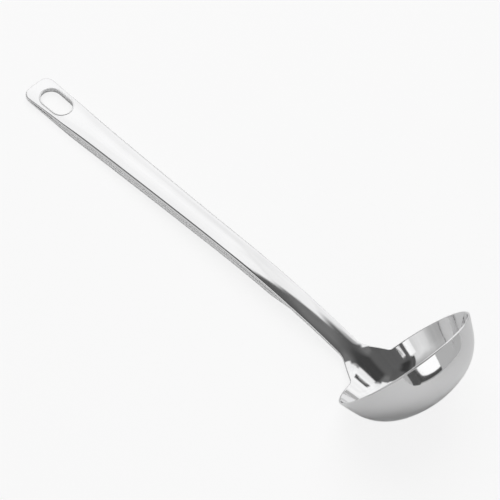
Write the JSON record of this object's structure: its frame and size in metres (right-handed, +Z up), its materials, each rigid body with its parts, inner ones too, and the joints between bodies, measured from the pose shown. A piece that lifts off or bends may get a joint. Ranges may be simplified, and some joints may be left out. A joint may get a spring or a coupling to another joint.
{
  "type": "soup ladle",
  "caption": "Polished stainless steel soup ladle: a deep round bowl on a flared flat neck, with a slim hollow handle that has a lined hanging slot at its end.",
  "frame": {"origin": "centre of the bounding box in plan, on the table plane that the ladle rests on", "axes": "+X runs along the handle from its slotted tip to the bowl, +Z is up with the bowl's mouth and the handle's front face turned upward, +Y is across and the ladle is mirror symmetric about the XZ plane"},
  "size_m": [0.3341, 0.0878, 0.0754],
  "materials": {
    "polished_steel": "mirror polished stainless steel, uncoated"
  },
  "bodies": {
    "root": {"bowl": "polished_steel", "handle_front_shell": "polished_steel", "handle_back_shell": "polished_steel", "hang_slot_sleeve": "polished_steel"}
  },
  "joints": []
}
